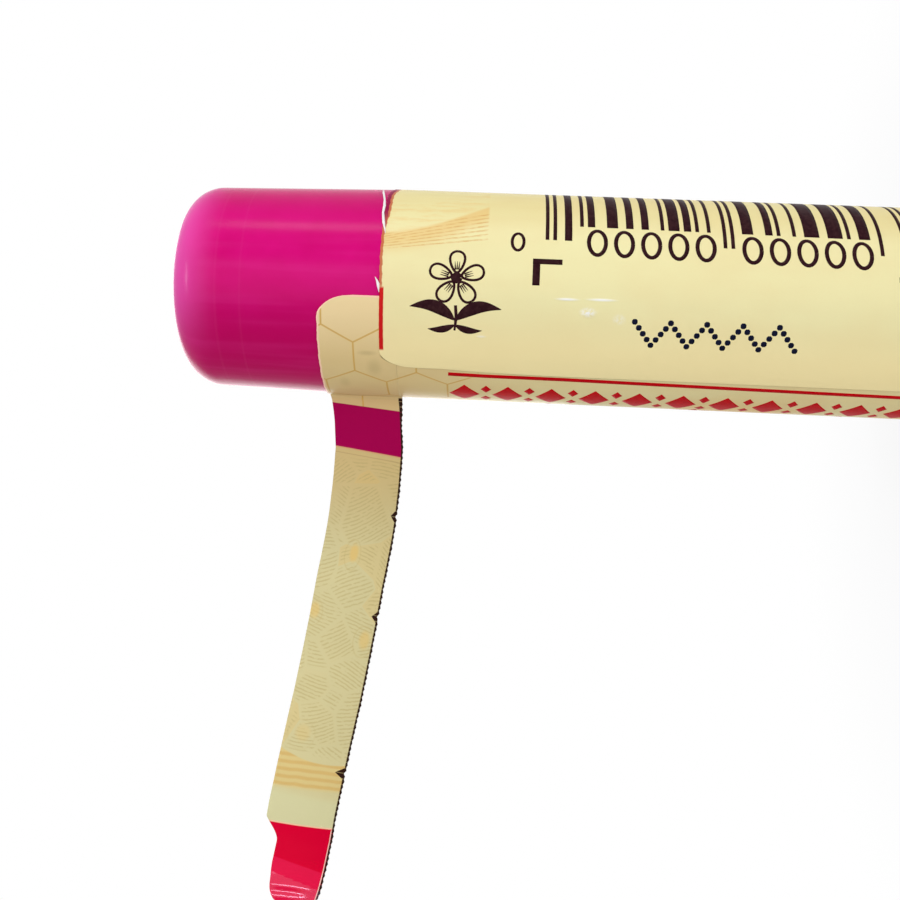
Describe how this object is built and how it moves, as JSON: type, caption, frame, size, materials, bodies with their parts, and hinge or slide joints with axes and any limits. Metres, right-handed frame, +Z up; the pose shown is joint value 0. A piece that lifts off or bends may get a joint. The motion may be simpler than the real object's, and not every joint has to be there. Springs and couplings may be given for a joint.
{
  "type": "lip balm stick",
  "caption": "Twist-up lip balm stick: drafted pull-off cap, labelled barrel, turning wheel with screw, elevator, balm and a torn tear strip hanging from the label.",
  "frame": {"origin": "centre of the turning wheel's flat base, on the stick's axis", "axes": "+Z up along the stick towards the cap; -Y is the printed front; the torn strip hangs out towards -X"},
  "size_m": [0.0554, 0.016, 0.0673],
  "materials": {
    "cap_plastic": "glossy magenta injection-moulded plastic",
    "barrel_plastic": "glossy magenta injection-moulded plastic",
    "elevator_plastic": "natural white moulded plastic",
    "balm_wax": "soft ivory wax with a slight sheen",
    "label_film": "printed cream film with a semi-gloss varnish"
  },
  "bodies": {
    "barrel": {"barrel": "barrel_plastic", "label": "label_film"},
    "turning_wheel": {"turning_wheel": "barrel_plastic"},
    "elevator": {"elevator": "elevator_plastic", "balm": "balm_wax"},
    "cap": {"cap": "cap_plastic"},
    "tear_strip": {"tear_strip": "label_film"}
  },
  "joints": [
    {"name": "wheel_turn", "type": "hinge", "parent": "barrel", "child": "turning_wheel", "pos_m": [0, 0, 0], "axis": [0, 0, 1], "range_deg": [0, 2880]},
    {"name": "elevator_rise", "type": "slide", "parent": "barrel", "child": "elevator", "axis": [0, 0, 1], "range_m": [0, 0.038]},
    {"name": "cap_pull", "type": "slide", "parent": "elevator", "child": "cap", "axis": [0, 0, 1], "range_m": [0, 0.03]},
    {"name": "tear_strip_swing", "type": "hinge", "parent": "barrel", "child": "tear_strip", "pos_m": [-0.00813, 0.00036, 0.0533], "axis": [0, 0, 1], "range_deg": [-70, 70], "stiffness_Nm_per_rad": 0.000015}
  ],
  "couplings": [
    {"joint": "wheel_turn", "follows": "elevator_rise", "rad_per_m": 1322.8}
  ]
}
